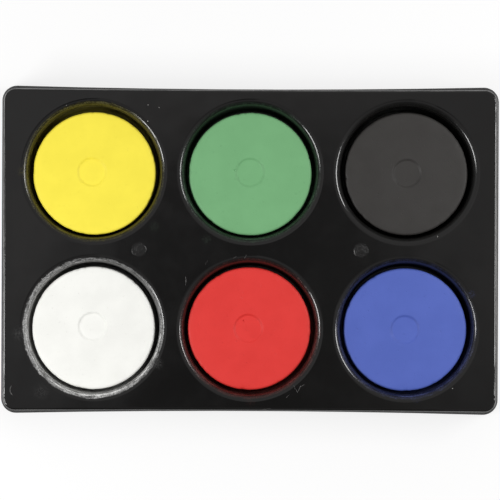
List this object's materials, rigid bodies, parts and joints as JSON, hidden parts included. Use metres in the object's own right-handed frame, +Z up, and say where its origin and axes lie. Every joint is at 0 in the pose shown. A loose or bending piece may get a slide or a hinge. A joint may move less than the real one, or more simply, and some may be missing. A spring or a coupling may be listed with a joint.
{
  "type": "watercolour paint set",
  "caption": "Black moulded tray with rows of round wells, each holding a loose round block of pressed watercolour paint.",
  "frame": {"origin": "on the table, under the middle of the tray", "axes": "+X along the tray's long side, +Y towards the row with yellow, green and black, +Z up"},
  "size_m": [0.2344, 0.1544, 0.0235],
  "materials": {
    "tray_plastic": "gloss",
    "paint_yellow": "matte",
    "paint_green": "matte",
    "paint_black": "matte",
    "paint_white": "matte",
    "paint_red": "matte",
    "paint_blue": "matte"
  },
  "bodies": {
    "tray": {"tray_shell": "tray_plastic", "tray_cup_yellow": "tray_plastic", "tray_cup_green": "tray_plastic", "tray_cup_black": "tray_plastic", "tray_cup_white": "tray_plastic", "tray_cup_red": "tray_plastic", "tray_cup_blue": "tray_plastic"},
    "yellow_block": {"paint_block_yellow": "paint_yellow"},
    "green_block": {"paint_block_green": "paint_green"},
    "black_block": {"paint_block_black": "paint_black"},
    "white_block": {"paint_block_white": "paint_white"},
    "red_block": {"paint_block_red": "paint_red"},
    "blue_block": {"paint_block_blue": "paint_blue"}
  },
  "joints": [
    {"name": "yellow_block_lift", "type": "slide", "parent": "tray", "child": "yellow_block", "axis": [0, 0, 1], "range_m": [0, 0.03]},
    {"name": "green_block_lift", "type": "slide", "parent": "tray", "child": "green_block", "axis": [0, 0, 1], "range_m": [0, 0.03]},
    {"name": "black_block_lift", "type": "slide", "parent": "tray", "child": "black_block", "axis": [0, 0, 1], "range_m": [0, 0.03]},
    {"name": "white_block_lift", "type": "slide", "parent": "tray", "child": "white_block", "axis": [0, 0, 1], "range_m": [0, 0.03]},
    {"name": "red_block_lift", "type": "slide", "parent": "tray", "child": "red_block", "axis": [0, 0, 1], "range_m": [0, 0.03]},
    {"name": "blue_block_lift", "type": "slide", "parent": "tray", "child": "blue_block", "axis": [0, 0, 1], "range_m": [0, 0.03]}
  ]
}
